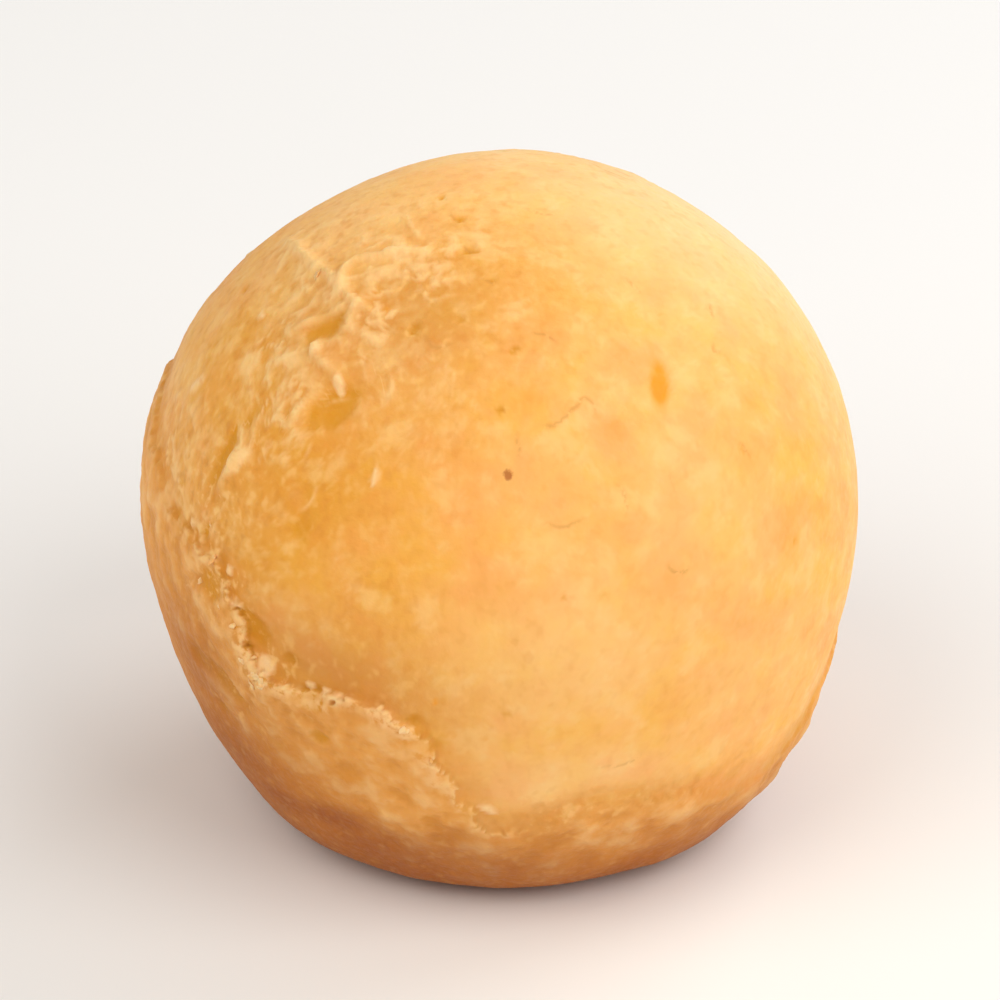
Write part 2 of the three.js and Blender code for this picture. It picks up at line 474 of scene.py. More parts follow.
def line_object(name, lines, closed=False):
    """Chains of points on a sphere of the ball's mean radius, with their strength."""
    points, edges, strengths = [], [], []
    for line in lines:
        first = len(points)
        for azimuth, elevation, strength in line:
            points.append(MIDDLE + ray(azimuth, elevation) * MEAN_RADIUS)
            strengths.append(strength)
        edges += [(i, i + 1) for i in range(first, len(points) - 1)]
        if closed:
            edges.append((len(points) - 1, first))
    mesh = bpy.data.meshes.new(name)
    mesh.from_pydata(points, edges, [])
    mesh.attributes.new("strength", "FLOAT", "POINT").data.foreach_set("value", strengths)
    chain = new_object(name, mesh)
    chain.hide_render = True
    print(f"{name}: {len(points)} places")
    return chain


chains = {
    "Skirt tear": line_object("skirt_tear", [SKIRT_TEAR], closed=True),
    "Dome tears": line_object("dome_tears", DOME_TEARS),
    "Folds": line_object("folds", FOLDS),
    "Wrinkles": line_object("wrinkles", WRINKLES),
    "Hair cracks": line_object("hair_cracks", HAIR_CRACKS),
}

# %% [markdown]
# Other marks are ovals. The broad ones are zones: the skin crumpled or crumbled there, or is a
# darker gold, partly painted shade on the left. Paler zones are partly painted light, a pale cream
# near the upper right edge is a painted sheen, and shaded zones are painted shade, darker and
# browner, mostly low on the left, under the tear and near the tray.

# %% List the broad zones
# An oval is azimuth and elevation, width and length in millimetres, the lean of its length from
# upright towards +azimuth in degrees, and a strength.
ZONES = {
    "crumpled": [
        (-60, 50, 24, 24, 0, 0.9), (-36, 58, 20, 24, 0, 0.85), (-52, 26, 14, 22, 0, 0.9),
        (-10, 60, 18, 14, 0, 0.5), (-20, 42, 14, 12, 0, 0.5), (-70, 20, 16, 20, 0, 0.7),
        (158, 38, 24, 26, 0, 0.9), (-126, 34, 24, 24, 0, 0.8), (100, 10, 16, 16, 0, 0.35),
    ],
    "crumbly": [
        (-56, 16, 11, 13, 0, 0.9), (-50, 3, 9, 9, 0, 1), (-40, -8, 7, 7, 0, 0.9),
        (-48, -16, 8, 8, 0, 0.6), (12, -30, 8, 4, 0, 0.6), (30, -29, 9, 3, 0, 0.5),
        (-100, 14, 15, 14, 0, 0.8), (-142, 2, 15, 14, 0, 0.9), (150, -10, 15, 14, 0, 1),
        (110, -20, 11, 10, 0, 0.7),
    ],
    "dusky": [
        (-34, 25, 11, 15, 0, 1), (-43, 12, 9, 7, 0, 0.8), (-21, 9, 14, 13, 0, 0.7),
        (-14, 40, 12, 12, 0, 0.4), (-24, 22, 12, 12, 0, 0.5), (-20, -2, 20, 9, 0, 0.6),
        (-8, -12, 8, 10, 0, 0.4), (-60, 38, 9, 9, 0, 0.4), (2, 3, 4, 12, 0, 0.5),
        (-2, 67, 16, 10, 0, 0.8), (140, 12, 16, 14, 0, 0.8), (-140, 22, 15, 12, 0, 0.8),
    ],
    # paler zones: partly the crust's own tone, partly painted light on the lit front and right
    # shoulder
    "floury": [
        (95, 68, 26, 18, 0, 0.3), (12, 4, 22, 13, 0, 0.7), (12, -22, 18, 8, 0, 0.7),
        (36, 20, 14, 14, 0, 0.5), (43, -8, 12, 12, 0, 0.5), (9, 28, 12, 12, 0, 0.3),
        (-95, 64, 18, 14, 0, 0.7), (-90, 30, 14, 40, 0, 0.4), (-170, 62, 26, 18, 0, 0.8),
        (100, 20, 18, 26, 0, 0.4),
    ],
    # painted sheen: pale cream near the upper right edge, where a lamp behind would graze the skin
    "powdery": [
        (112, 46, 22, 34, 0, 0.9), (150, 72, 30, 16, 0, 0.5), (84, 70, 16, 12, 0, 0.2),
        (104, 12, 12, 24, 0, 0.6),
    ],
    # painted shade: darker, browner ovals, mostly low on the left, under the tear and near the tray
    "shaded": [
        (-56, -32, 18, 14, 0, 1), (-47, -38, 9, 6, 0, 1.1), (-34, -38, 10, 5, 0, 1.1),
        (-59, -17, 13, 14, 0, 0.8), (-25, -42, 18, 7, 0, 0.8), (-28, -3, 20, 8, 10, 0.4),
        (-110, -24, 20, 14, 0, 0.5), (-46, -21, 15, 14, 0, 0.42), (-27, 56, 13, 10, 0, 0.25),
    ],
}
print("zones:", {kind: len(ovals) for kind, ovals in ZONES.items()})

# %% [markdown]
# The small marks are ochre pits where gas broke out, their ochre partly painted shade of the
# pocket, orange flecks of melted cheese, and pale flakes of skin that stand up.

# %% List the small marks
SMALL_MARKS = {
    "ochre": [
        (-46.5, 50, 2.4, 4.0, 25, 1.3), (-35.5, 38.5, 2.2, 4.0, 35, 1.3),
        (-38, 35, 1.0, 1.6, 40, 0.9), (-54.5, 26, 1.6, 7, 12, 1), (-55, 11.5, 0.9, 1.4, 0, 0.7),
        (-51, 4, 2.2, 2.2, 20, 1.2), (-42.5, -0.5, 3.2, 1.9, 20, 1.2), (-43, -4, 0.7, 1.0, 0, 0.8),
        (-50.5, -14, 4.4, 1.5, 25, 1.1), (-57, -13, 2.4, 1.6, 20, 1.1),
        (-35, -3.5, 1.4, 1.1, 0, 0.8), (-30.5, -9, 2.0, 1.9, 0, 1.2),
        (-30.3, -16.5, 1.5, 1.3, 0, 0.8),
        (-54, -21, 1.6, 2.2, 0, 0.6), (-54, -29, 1.4, 2.8, 0, 0.3), (-40, -22, 2.4, 1.6, 30, 0.3),
        (-13.5, -9.5, 1.2, 1.8, 20, 0.5), (-10, -14, 0.8, 1.0, 0, 0.4), (1, -7, 0.7, 0.9, 0, 0.5),
        (8, -6, 1.1, 1.4, 0, 0.3), (16, 12, 1.4, 1.1, 0, 0.4), (10, 13, 0.7, 0.5, 0, 0.4),
        (22, 7, 0.8, 0.8, 0, 0.3), (55, 10, 0.8, 1.2, 0, 0.4), (48, 28, 0.8, 1.2, -25, 0.35),
        (47, 53, 0.9, 0.6, 0, 0.35), (62, 49, 0.8, 0.9, 0, 0.35), (-14, 71, 1.5, 0.7, 0, 0.7),
        (-34, 78, 1.2, 0.9, 0, 0.7), (4, 52.5, 1.0, 0.8, 0, 0.6), (-24, 54, 0.6, 0.6, 0, 0.6),
        (0, 42.5, 0.6, 0.6, 0, 0.8), (-74, 80, 0.9, 0.6, 0, 0.7), (-24, 55, 0.8, 0.7, 0, 0.6),
        (-3, 65, 0.8, 0.6, 0, 0.6), (-11, 57.5, 0.7, 0.6, 0, 0.6), (3, 52, 0.7, 0.6, 0, 0.6),
        (-35, 19, 2.4, 2.8, 0, 0.45), (-83, 44, 1.0, 1.0, 0, 0.5),
        (162, -22, 2.0, 1.6, 0, 0.9), (-135, -8, 2.2, 1.4, 0, 0.9), (162, 37, 1.6, 3.2, -30, 1),
        (-126, 38, 1.5, 3.0, 30, 1), (128, 5, 1.2, 1.2, 0, 0.7), (175, 60, 1.1, 0.8, 0, 0.6),
        (-100, -5, 1.3, 1.8, 0, 0.8), (95, 25, 0.8, 1.0, 0, 0.5), (-170, 30, 1.2, 0.9, 0, 0.7),
    ],
    "orange": [
        (36, 42.5, 1.5, 3.3, 24, 1.35), (-10, -5.5, 0.6, 0.8, 0, 0.7),
        (-41, 57.5, 2.4, 2.6, 0, 0.4), (-34, 56.5, 0.9, 1.4, -20, 0.5),
        (61, 14, 1.6, 2.6, 0, 0.3), (26, 62, 1.2, 1.2, 0, 0.3),
        (17, 72.5, 1.0, 2.0, 0, 0.3), (172, 28, 1.4, 3.2, 20, 1), (-110, 27, 2.0, 1.3, 0, 0.9),
        (120, 44, 1.0, 1.2, 0, 0.8), (-155, 8, 0.9, 1.0, 0, 1),
    ],
    "pale": [
        (-45.5, 46, 1.0, 1.0, 0, 0.8), (-36, 42.5, 0.8, 1.9, -30, 0.9), (-69, 45, 0.7, 0.7, 0, 0.7),
        (-73, 29, 1.0, 2.6, 30, 0.7), (-23, 30, 0.6, 1.6, 0, 0.8), (-39.5, -6, 1.3, 1.5, 0, 1),
        (-31.5, -7, 0.8, 0.7, 0, 0.9), (-28.5, -7.3, 0.7, 0.8, 0, 0.8), (-26, -7.7, 0.8, 0.8, 0, 1),
        (-48, 7.5, 0.7, 0.7, 0, 0.9), (-45.5, 3, 0.9, 0.7, 0, 0.9), (-59, 11, 0.8, 0.7, 0, 0.8),
        (-2, -28, 1.8, 1.0, 30, 0.8), (-53, 24, 0.5, 3.0, 20, 0.8), (134, -12, 1.2, 1.4, 0, 1),
        (171, -13, 1.0, 0.9, 0, 0.9), (-146, 4, 1.2, 1.0, 0, 0.9), (-120, 6, 1.0, 0.8, 0, 0.9),
        (152, 20, 0.8, 1.8, 0, 0.8), (-128, 30, 0.7, 1.6, 40, 0.8),
    ],
}
print("small marks:", {kind: len(ovals) for kind, ovals in SMALL_MARKS.items()})

# %% [markdown]
# Each kind of mark becomes one mask on the points of the mesh. It is strongest in the middle of an
# oval and fades outwards, and a tree can later cut it off with a ragged edge.

# %% Paint the masks of the marks
MARK_EDGE = math.exp(-1)  # what a mask of strength 1 holds on the edge of its oval


def oval(rays, azimuth, elevation, width, length, lean):
    """1 in the middle of an oval on the crust, MARK_EDGE on its edge, and 0 well outside."""
    centre, east = np.array(ray(azimuth, elevation)), np.array(ray(azimuth + 90, 0))
    north = np.cross(centre, east)
    turn = math.radians(lean)
    long_axis = math.cos(turn) * north + math.sin(turn) * east
    short_axis = math.cos(turn) * east - math.sin(turn) * north
    offset = (rays - centre) * (MEAN_RADIUS / MM)
    square = (2 * (offset @ short_axis) / width) ** 2 + (2 * (offset @ long_axis) / length) ** 2
    return np.exp(-square) * (rays @ centre > 0)


def paint_masks(mesh):
    points = np.zeros(len(mesh.vertices) * 3)
    mesh.vertices.foreach_get("co", points)
    rays = points.reshape(-1, 3) - np.array(MIDDLE)
    rays /= np.linalg.norm(rays, axis=1, keepdims=True)
    for kind, ovals in {**ZONES, **SMALL_MARKS}.items():
        mask = np.zeros(len(rays))
        for *place_and_size, strength in ovals:
            mask = np.maximum(mask, strength * oval(rays, *place_and_size))
        mesh.attributes.new(kind, "FLOAT", "POINT").data.foreach_set("value", mask)
        print(f"mask {kind} covers {np.count_nonzero(mask > MARK_EDGE)} points")


paint_masks(body.data)

# %% [markdown]
# ## Measuring from a crust line
# The tree below is a group, used once for each kind of line. It makes the chain smooth and dense,
# and finds for every point of the crust the nearest point of the line. What comes out is how far
# the crust lies across the line, which side it is on, and how strong the line is there.

# %% Build the group that measures from a line
LINE_STEP = 0.15 * MM


def new_group(name, inputs, outputs, kind="GeometryNodeTree"):
    tree = bpy.data.node_groups.new(name, kind)
    for direction, sockets in (("INPUT", inputs), ("OUTPUT", outputs)):
        for label, socket_type, *default in sockets:
            socket = tree.interface.new_socket(label, in_out=direction, socket_type=socket_type)
            if default:
                socket.default_value = default[0]
    return tree, tree.nodes.new("NodeGroupInput"), tree.nodes.new("NodeGroupOutput")


def line_group():
    inputs = [("Line", "NodeSocketObject")]
    inputs += [(name, "NodeSocketVector") for name in ("Place", "Middle")]
    outputs = [(name, "NodeSocketFloat") for name in ("Across", "Strength")]
    outputs += [("Left", "NodeSocketVector")]
    tree, given, result = new_group("Measure from a crust line", inputs, outputs)
    chain = out(add(tree, "GeometryNodeObjectInfo", {"Object": out(given, "Line")}), "Geometry")
    curve = {"Curve": out(add(tree, "GeometryNodeMeshToCurve", {"Mesh": chain}))}
    round_bends = add(tree, "GeometryNodeCurveSplineType", curve, spline_type="CATMULL_ROM")
    curve = {"Curve": out(round_bends), "Length": LINE_STEP}
    dense = add(tree, "GeometryNodeResampleCurve", curve, mode="LENGTH")
    here = out(tree.nodes.new("GeometryNodeInputPosition"))
    outward = here.vector("SUBTRACT", out(given, "Middle"))
    tangent = out(tree.nodes.new("GeometryNodeInputTangent"))
    left = outward.vector("CROSS_PRODUCT", tangent).vector("NORMALIZE")
    curve = remember(tree, out(dense), "left", left, "FLOAT_VECTOR")
    line = out(add(tree, "GeometryNodeCurveToMesh", {"Curve": curve}))
    place = out(given, "Place")
    values = {"Geometry": line, "Sample Position": place}
    nearest = out(add(tree, "GeometryNodeSampleNearest", values))

    def at_nearest(value, kind):
        values = {"Geometry": line, "Value": value, "Index": nearest}
        return out(add(tree, "GeometryNodeSampleIndex", values, data_type=kind))

    apart = place.vector("SUBTRACT", at_nearest(here, "FLOAT_VECTOR"))
    left_there = at_nearest(attribute(tree, "left", "FLOAT_VECTOR"), "FLOAT_VECTOR")
    side = apart.vector("DOT_PRODUCT", left_there, result="Value").math("SIGN")
    distance = apart.vector("LENGTH", result="Value")
    plug(result.inputs["Across"], distance * side)
    plug(result.inputs["Strength"], at_nearest(attribute(tree, "strength"), "FLOAT"))
    plug(result.inputs["Left"], left_there)
    return tree


measure_from_line = line_group()
print("line group has", len(measure_from_line.nodes), "nodes")

# %% [markdown]
# ## The relief of the crust
# Four things shape a baked crust. It tears, and the torn lip curls out over a groove. It crumples
# into thin folds and shallow cells. It crumbles along the tears, with pits where gas broke out.
# And all of it has a soft unevenness like orange peel. Each is a height, and the heights simply add
# up. A bump in the material would be quicker, but only real relief casts shades and frays the
# outline. The sizes are inputs of one Geometry Nodes tree, so another bake only needs new numbers.

# %% Start the relief tree
RELIEF = {
    "Lip height": 0.5 * MM,
    "Lip lean": 0.22 * MM,
    "Lip reach": 1.2 * MM,
    "Groove depth": 0.2 * MM,
    "Groove width": 0.7 * MM,
    "Raggedness": 3.2 * MM,
    "Fold height": 0.42 * MM,
    "Fold width": 0.39 * MM,
    "Wrinkle height": 0.16 * MM,
    "Wrinkle width": 0.3 * MM,
    "Pit depth": 0.2 * MM,
    "Flake height": 0.14 * MM,
    "Vein height": 0.14 * MM,
    "Cell size": 5.5 * MM,
    "Crumple size": 3.0 * MM,
    "Dent height": 0.22 * MM,
    "Dent size": 2.0 * MM,
    "Crumb height": 0.4 * MM,
    "Crumb size": 1.3 * MM,
    "Stroke height": 0.1 * MM,
    "Stroke size": 1.1 * MM,
    "Knob height": 0.75 * MM,
    "Knob size": 2.4 * MM,
    "Lump height": 0.25 * MM,
    "Lump size": 6.0 * MM,
}

relief_inputs = [("Geometry", "NodeSocketGeometry"), ("Middle", "NodeSocketVector", MIDDLE)]
relief_inputs += [(name, "NodeSocketObject") for name in chains]
relief_inputs += [(name, "NodeSocketFloat", length) for name, length in RELIEF.items()]
relief_outputs = [("Geometry", "NodeSocketGeometry")]
relief, given, result = new_group("Crust relief", relief_inputs, relief_outputs)
size = {name: out(given, name) for name in RELIEF}
print("the relief has", len(size), "sizes to set")

# %% [markdown]
# Patterns are read straight in or out from each point, on a smooth ball of the mean radius, so the
# solid's own bumps don't bend them. Shaking that place with noise before it is measured makes a
# line look ragged.

# %% Find the place of each point and measure lines from it
middle = out(given, "Middle")
here = out(relief.nodes.new("GeometryNodeInputPosition"))
outward = here.vector("SUBTRACT", middle).vector("NORMALIZE")
place = outward.scaled(MEAN_RADIUS).vector("ADD", middle)


def shaken(patch, reach):
    """The place moved about by soft noise with patches of this size."""
    shake = noise(relief, place, patch, 3, 0.6, "Color").vector("SUBTRACT", (0.5, 0.5, 0.5))
    return shake.scaled(reach).vector("ADD", place)


def measure(line, where):
    """How far a place lies across a line, the line's strength there, and the way to its left."""
    node = add(relief, "GeometryNodeGroup", node_tree=measure_from_line)
    for name, value in {"Line": out(given, line), "Place": where, "Middle": middle}.items():
        plug(node.inputs[name], value)
    return [out(node, name) for name in ("Across", "Strength", "Left")]


print("the tree starts with", len(relief.nodes), "nodes")

# %% [markdown]
# ### Tears
# The lip rises steeply on the right of its line, which is the lower side of the long tear, and then
# sinks slowly. On the left is a narrow groove. The lip leans out over it, so it catches the light
# like a real edge.

# %% Shape the tears
RAGGED_PATCH = 2.2 * MM
HALF_STEP = 0.22 * MM  # half the width of the step from the groove up to the lip
TEAR_MARGIN = 2 * MM  # where the dome and the lower crust begin, on either side of the long tear
uneven = noise(relief, place, RAGGED_PATCH, 2).between(0.3, 0.6, 0.6, 1.15)


def tear(line):
    across, strength, left = measure(line, shaken(RAGGED_PATCH, size["Raggedness"]))
    torn = across.between(HALF_STEP, -HALF_STEP)
    crest = (across.math("MINIMUM", 0.0) / size["Lip reach"]).math("EXPONENT")
    lip = torn * crest * strength * uneven
    groove = (1 - torn) * across.bell(size["Groove width"]) * strength
    return across, lip, groove, left


skirt_across, lip, groove, left = tear("Skirt tear")
on_dome = skirt_across.between(0.0, TEAR_MARGIN)
below = 1 - skirt_across.between(-TEAR_MARGIN, 0.0)
_, dome_lip, dome_groove, dome_left = tear("Dome tears")
lip_all = lip + dome_lip * on_dome
groove_all = groove + dome_groove * on_dome
lean = left.scaled(lip).vector("ADD", dome_left.scaled(dome_lip * on_dome))
print("with the tears there are", len(relief.nodes), "nodes")

# %% [markdown]
# ### Folds, wrinkles and cracks
# A fold is a bell-shaped ridge along its line. Wrinkles are thinner and broken up by noise. Hair
# cracks get no relief, only their distance is kept for the material.

# %% Fold and wrinkle the skin
WAVY_SKIN = {"patch": 2.0 * MM, "reach": 1.1 * MM}
WAVY_CRACK = {"patch": 1.5 * MM, "reach": 0.8 * MM}
THIN_FADES, THIN_ENDS = 0.6 * MM, 1 * MM  # how far off a thin line still counts
GAP_SIZE = 1.8 * MM  # of the gaps that break up wrinkles and veins
wavy = shaken(**WAVY_SKIN)
fold_across, fold_strength, _ = measure("Folds", wavy)
fold = fold_across.bell(size["Fold width"]) * fold_strength * uneven


def thin(line, where):
    """A line that only counts close by, since far off its side jumps from point to point."""
    across, strength, _ = measure(line, where)
    return across, strength * across.math("ABSOLUTE").between(THIN_ENDS, THIN_FADES)


wrinkle_across, wrinkle_strength = thin("Wrinkles", wavy)
broken = noise(relief, place, GAP_SIZE, 2).between(0.4, 0.6)
wrinkle = wrinkle_across.bell(size["Wrinkle width"]) * wrinkle_strength * broken
crack_across, crack_strength = thin("Hair cracks", shaken(**WAVY_CRACK))
print("with folds and wrinkles there are", len(relief.nodes), "nodes")

# %% [markdown]
# ### Crumpled skin
# In the crumpled zones, veins run along the edges of soft cells and wander between them. Short
# smeared strokes and shallow dents lie over everything, strongest where the skin is rough.

# %% Crumple the skin
patchy = noise(relief, place, size["Cell size"], 1).between(0.4, 0.58, 0.25, 1.0)
crumpled = attribute(relief, "crumpled") * patchy
edge = distance_to_cell_edge(relief, wavy, size["Crumple size"]).between(0.2, 0.0)
wander = strands(relief, place, size["Crumple size"] * 0.8, 0.05)
vein = (edge * broken).math("MAXIMUM", wander * (1 - broken * 0.5))
vein = vein * crumpled.between(0.15, 0.85)

roughest = crumpled.math("MAXIMUM", below * 0.8)
strokes = noise(relief, place, size["Stroke size"], 3, 0.55, Distortion=1.6) - 0.5
strokes = strokes * roughest.between(0.0, 0.8, 0.3, 1.0, smooth=False)
dents = noise(relief, place, size["Dent size"], 2, 0.5) - 0.5
dents = dents * roughest.between(0.0, 0.8, 0.12, 1.0, smooth=False)
print("with the crumpled skin there are", len(relief.nodes), "nodes")

# %% [markdown]
# ### Crumbly crust
# Along the tears the crust crumbles. Lower down it is knobby, because the dough there set early and
# was pushed together by the rising rest. A pale band of it ends raggedly above the smooth foot.

# %% Crumble the lower crust
PATCH_SIZE = 4.5 * MM
BAND_FULL, BAND_ENDS = -3 * MM, -12 * MM  # across the long tear, so these are below it
BAND_RAGGEDNESS = 9  # in millimetres
crumbly = attribute(relief, "crumbly").math("MAXIMUM", lip_all.math("MINIMUM", 1.0) * 0.8)
crumbs = (noise(relief, place, size["Crumb size"], 3, 0.5) - 0.5) * crumbly
patches = noise(relief, place, PATCH_SIZE, 3, 0.6)
ragged_across = skirt_across + (patches - 0.5) * BAND_RAGGEDNESS * MM
band = below * ragged_across.between(BAND_ENDS, BAND_FULL)
knobby = band.math("MAXIMUM", crumbly * 0.45) + below * 0.2
knobs = (noise(relief, place, size["Knob size"], 3, 0.5) - 0.5) * knobby
lumps = noise(relief, place, size["Lump size"], 2) - 0.5
print("with the lower crust there are", len(relief.nodes), "nodes")

# %% [markdown]
# ### Pits, flecks and flakes
# A painted mask fades softly. Fine noise roughens it and a narrow step cuts it off, which leaves a
# mark with a ragged edge.

# %% Cut out the small marks
EDGE_GRAIN = 1.1 * MM
edge_noise = noise(relief, place, EDGE_GRAIN, 3, 0.6) - 0.5


def cut_out(kind, start, end, raggedness=2.0):
    return (attribute(relief, kind) * (edge_noise * raggedness + 1)).between(start, end)


pit, flake = cut_out("ochre", 0.12, 0.6), cut_out("pale", 0.2, 0.55)
fleck = cut_out("orange", 0.15, 0.85, raggedness=0.6)
print("with the small marks there are", len(relief.nodes), "nodes")

# %% [markdown]
# ### All heights together
# All heights move the crust along its own normal, straight out or in. Only the lean of a lip goes
# sideways. The underside stays flat, because everything fades out just above the tray.

# %% Add the heights up
RELIEF_STARTS, RELIEF_FULL = 0.2 * MM, 3 * MM  # above the tray

small = vein * size["Vein height"] + crumbs * size["Crumb height"] + knobs * size["Knob height"]
small = small + strokes * size["Stroke height"] + dents * size["Dent height"]
height = lip_all * size["Lip height"] - groove_all * size["Groove depth"]
height = height + fold * size["Fold height"] + wrinkle * size["Wrinkle height"]
height = height + small + flake * size["Flake height"] - pit * size["Pit depth"]
height = height + lumps * size["Lump height"]

altitude = here.vector("DOT_PRODUCT", (0, 0, 1), result="Value")
free = altitude.between(RELIEF_STARTS, RELIEF_FULL)
normal = out(relief.nodes.new("GeometryNodeInputNormal"))
move = normal.scaled(height * free).vector("ADD", lean.scaled(size["Lip lean"] * free))
print("with all heights there are", len(relief.nodes), "nodes")

# %% [markdown]
# What the colours need to know of the relief is stored on the points before they move. The tree
# then runs once and its result becomes the crust's own mesh, so the lines can be thrown away.

# %% Bake the relief
kept = {
    "lip": lip_all, "fold": fold, "vein": vein, "below": below, "skirt_across": skirt_across,
    "wrinkle_across": wrinkle_across, "wrinkle_strength": wrinkle_strength * broken,
    "crack_across": crack_across, "crack_strength": crack_strength, "rise": small / MM,
    "pit": pit, "flake": flake, "fleck": fleck, "band": band, "patches": patches,
}
geometry = out(given, "Geometry")
for name, value in kept.items():
    geometry = remember(relief, geometry, name, value)
geometry = out(add(relief, "GeometryNodeSetPosition", {"Geometry": geometry, "Offset": move}))


def finish_tree(tree, result, geometry, material):
    """Ends a tree with plain geometry that wears one material."""
    plain = out(add(tree, "GeometryNodeRealizeInstances", {"Geometry": geometry}))
    worn = add(tree, "GeometryNodeSetMaterial", {"Geometry": plain, "Material": material})
    plug(result.inputs["Geometry"], out(worn))


def use_tree(piece, tree, values):
    """Adds a Geometry Nodes modifier and fills its inputs by their identifiers."""
    modifier = piece.modifiers.new(tree.name, "NODES")
    modifier.node_group = tree
    for item in tree.interface.items_tree:
        if item.in_out == "INPUT" and item.name in values:
            modifier[item.identifier] = values[item.name]


golden_crust = bpy.data.materials.new("golden_crust")
finish_tree(relief, result, geometry, golden_crust)
use_tree(body, relief, {**chains, **RELIEF})
settle(body)
for chain in chains.values():
    bpy.data.objects.remove(chain)

# %% [markdown]
# ## Broad colours of the crust
# The crust is golden where it is thin and smooth, and browner towards the tray. Melted cheese
# leaves orange flecks, and pits are a darker ochre, partly painted shade of the pocket. Paler zones
# are partly painted light, a pale cream near the upper right edge is a painted sheen, and shaded
# zones are painted shade. These colours change slowly, so they are worked out once on the points of
# the mesh, which keeps the material quick. Ridges are painted paler and hollows darker, a painted
# highlight and painted shade that follow the relief.

# %% Bake the broad colours on the points
CLOUD_SIZE, SMALL_CLOUD_SIZE = 13 * MM, 3.2 * MM
NEAR_TEAR = 3 * MM
HEAT_FULL, HEAT_ENDS = 0.5 * MM, 12.5 * MM  # above the tray
HEAT_RAGGEDNESS = 8  # in millimetres


def broad_colours_tree():
    sockets = [("Geometry", "NodeSocketGeometry")]
    tree, given, result = new_group("Broad crust colours", sockets, sockets)
    here = out(tree.nodes.new("GeometryNodeInputPosition"))
    altitude = here.vector("DOT_PRODUCT", (0, 0, 1), result="Value")

    def mask(name):
        return attribute(tree, name)

    wide, tint = noise(tree, here, CLOUD_SIZE, 2), noise(tree, here, SMALL_CLOUD_SIZE, 4, 0.72)
    patches, below, rise = mask("patches"), mask("below"), mask("rise")
    near_tear = mask("skirt_across").between(NEAR_TEAR, 0.0)
    # painted shade on the dome side of the long tear, in the groove under the lip
    groove_shade = near_tear * (1 - below) * (mask("crumbly") * 0.35 + 0.4)
    towards_tray = altitude + (patches - 0.5) * HEAT_RAGGEDNESS * MM
    towards_tray = towards_tray.between(HEAT_ENDS, HEAT_FULL)
    ground = colour_mix(tree, wide.between(0.3, 0.7), (249, 178, 85), (252, 186, 97))
    colour = paint_layers(tree, ground, [
        # redder and yellower gold clouds; darker gold where crumpled or dusky, partly painted shade
        (patches.between(0.48, 0.64) * 0.6, (252, 169, 92)),
        (patches.between(0.48, 0.34) * 0.6, (249, 184, 66)),
        (mask("crumpled") * 0.7, (218, 145, 34)),
        (mask("dusky") * 0.75, (227, 152, 14)),
        # smaller pale and dark clouds, paler zones partly painted light, and a painted sheen
        (tint.between(0.5, 0.64) * 0.44, (253, 206, 130)),
        (tint.between(0.48, 0.34) * 0.42, (236, 154, 50)),
        (mask("floury") * 0.65, (254, 208, 139)),
        (mask("powdery") * 0.75, (255, 227, 170)),
        # groove's painted shade; lower crust browner, partly painted shade; its pale band
        (groove_shade, (212, 134, 28)),
        (below * 0.85, (222, 138, 18)),
        (mask("band") * 0.7, (245, 175, 86)),
        # painted highlight on ridges and painted shade in hollows of the relief
        (rise.between(0.01, 0.12) * 0.52, (254, 206, 136)),
        (rise.between(0.0, -0.12) * 0.55, (212, 134, 20)),
        # pits partly painted shade, painted shade, flecks, flakes and the tray's heat
        # pits: a darker ochre, partly painted shade in the pocket
        (mask("pit") * 0.9, (222, 148, 2)),
        (mask("shaded") * 0.8, (162, 82, 4)),
        (mask("fleck"), (242, 154, 0)),
        (mask("flake") * 0.8, (255, 212, 154)),
        (towards_tray * 0.85, (160, 80, 8)),
    ])
    geometry = remember(tree, out(given, "Geometry"), "broad_colour", colour, "FLOAT_COLOR")
    finish_tree(tree, result, geometry, golden_crust)
    return tree


use_tree(body, broad_colours_tree(), {})
settle(body)

# %% [markdown]
# ## Crumbs and flakes
# Where the skin tore, bits of it dried and stand up as small pale flakes. They could be set one by
# one, but a tree that scatters them gives another set at once when its seed changes. It takes a
# copy of the crust, scatters flakes on it, thickest along the lip, and gives back the flakes alone.
# Each begins as a flat round blob, is dented by noise in a way of its own, and sits partly sunk in
# the crust so that it looks baked on.

# %% Make one flat blob, and random values
BLOB_DEPTH = 0.6  # as a share of its width


def flat_blob(tree, thickness):
    """A round blob one metre wide, to be scaled down, with its thickness as a share of that."""
    ball = out(add(tree, "GeometryNodeMeshIcoSphere", {"Radius": 0.5, "Subdivisions": 3}))
    flat = add(tree, "ShaderNodeCombineXYZ", {"X": 1.0, "Y": BLOB_DEPTH, "Z": thickness})
    return out(add(tree, "GeometryNodeTransform", {"Geometry": ball, "Scale": out(flat)}))


def random_between(tree, seed, low, high, kind="FLOAT"):
    """A random value for each point, always the same one for the same seed."""
    node = add(tree, "FunctionNodeRandomValue", {"Seed": seed}, data_type=kind)
    low_socket, result = {"FLOAT_VECTOR": (0, 0), "FLOAT": (2, 1)}[kind]
    plug(node.inputs[low_socket], low)
    plug(node.inputs[low_socket + 1], high)
    return out(node, result)


print(f"a blob is {BLOB_DEPTH} times as deep as it is wide")

# %% [markdown]
# The blobs are set on random points of the crust, turned to lie along it and then spun and tipped a
# little. The noise that dents them reads their final place, so no two flakes are alike.

# %% Scatter the flakes
FLAKES = {
    "Density": 6e5,
    "Smallest": 0.4 * MM,
    "Largest": 1.15 * MM,
    "Thickness": 0.24,
    "Dents": 0.6 * MM,
}
FLAKE_SEED = 11
MOST_TIPPED = 0.25  # radians
DENT_SIZE = 0.45 * MM
pale_flake = bpy.data.materials.new("pale_flake")


